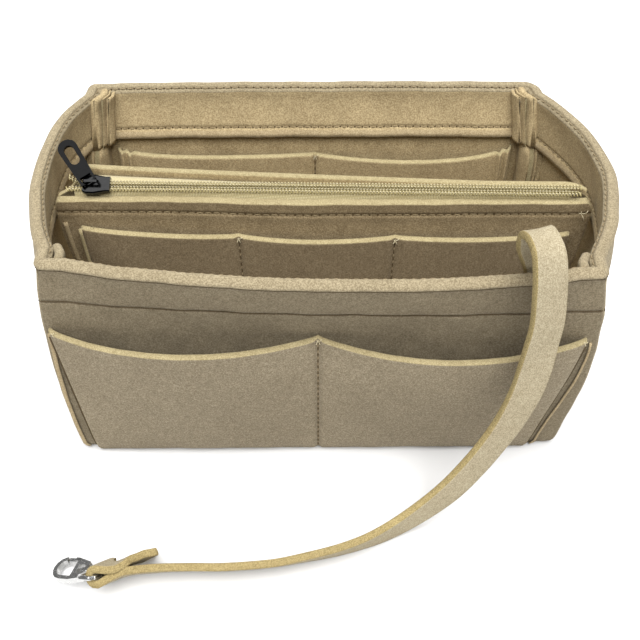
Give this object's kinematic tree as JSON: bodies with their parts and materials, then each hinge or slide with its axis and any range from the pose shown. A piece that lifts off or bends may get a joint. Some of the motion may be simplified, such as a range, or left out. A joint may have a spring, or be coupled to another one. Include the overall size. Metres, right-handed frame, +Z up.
{
  "type": "purse organizer insert",
  "caption": "Open felt bag liner with wall pockets, a zipped pouch standing across the middle, and a felt leash with a metal snap hook.",
  "frame": {"origin": "centre of the base panel's underside, on the surface that the insert stands on", "axes": "+X along the long side to the right as seen from the front, +Y from the front wall to the back wall, +Z up"},
  "size_m": [0.2788, 0.243, 0.1517],
  "materials": {
    "felt": "soft matt felt with paler cut edges",
    "zip_tape": "woven tape",
    "zip_coil": "spiral filament, slight shine",
    "nickel": "polished nickel plate",
    "dark_nickel": "dark polished nickel plate"
  },
  "bodies": {
    "felt_box": {"front_wall_panel": "felt", "back_wall_panel": "felt", "left_end_wall": "felt", "right_end_wall": "felt", "base_panel": "felt", "front_left_corner_seam": "felt", "front_right_corner_seam": "felt", "back_left_corner_seam": "felt", "back_right_corner_seam": "felt", "front_outer_pocket": "felt", "back_outer_pocket": "felt", "back_inner_pocket": "felt", "leash_strap": "felt"},
    "zip_pouch": {"pouch_front_panel": "felt", "pouch_rear_panel": "felt", "pouch_bottom_strip": "felt", "pouch_slot_pocket": "felt", "zip_tape_front": "zip_tape", "zip_tape_rear": "zip_tape", "zip_coil_front": "zip_coil", "zip_coil_rear": "zip_coil"},
    "zip_slider": {"zip_slider_crown": "nickel", "zip_slider_sole": "nickel", "zip_slider_bridge": "nickel"},
    "pull_tab": {"zip_pull_tab": "dark_nickel"},
    "hook_eye": {"snap_hook_swivel_eye": "nickel"},
    "hook": {"snap_hook_body": "nickel", "snap_hook_gate_pin": "nickel"},
    "hook_gate": {"snap_hook_gate": "nickel"}
  },
  "joints": [
    {"name": "pouch_lift", "type": "slide", "parent": "felt_box", "child": "zip_pouch", "axis": [0, 0, 1], "range_m": [0, 0.135]},
    {"name": "zip_run", "type": "slide", "parent": "zip_pouch", "child": "zip_slider", "axis": [0.9996, -0.0275, 0], "range_m": [0, 0.214]},
    {"name": "pull_swing", "type": "hinge", "parent": "zip_slider", "child": "pull_tab", "pos_m": [-0.10887, -0.00364, 0.11907], "axis": [0.8418, 0.4512, 0.2964], "range_deg": [0, 100]},
    {"name": "eye_swing", "type": "hinge", "parent": "felt_box", "child": "hook_eye", "pos_m": [-0.09614, -0.14767, 0.01048], "axis": [0.3537, 0.6617, -0.6611], "range_deg": [0, 40]},
    {"name": "hook_swivel", "type": "hinge", "parent": "hook_eye", "child": "hook", "pos_m": [-0.0996, -0.1468, 0.0095], "axis": [-0.9352, 0.235, -0.265], "continuous": true},
    {"name": "gate_open", "type": "hinge", "parent": "hook", "child": "hook_gate", "pos_m": [-0.10918, -0.13903, 0.00566], "axis": [-0.2201, 0.2007, 0.9546], "range_deg": [0, 26], "stiffness_Nm_per_rad": 0.002}
  ]
}
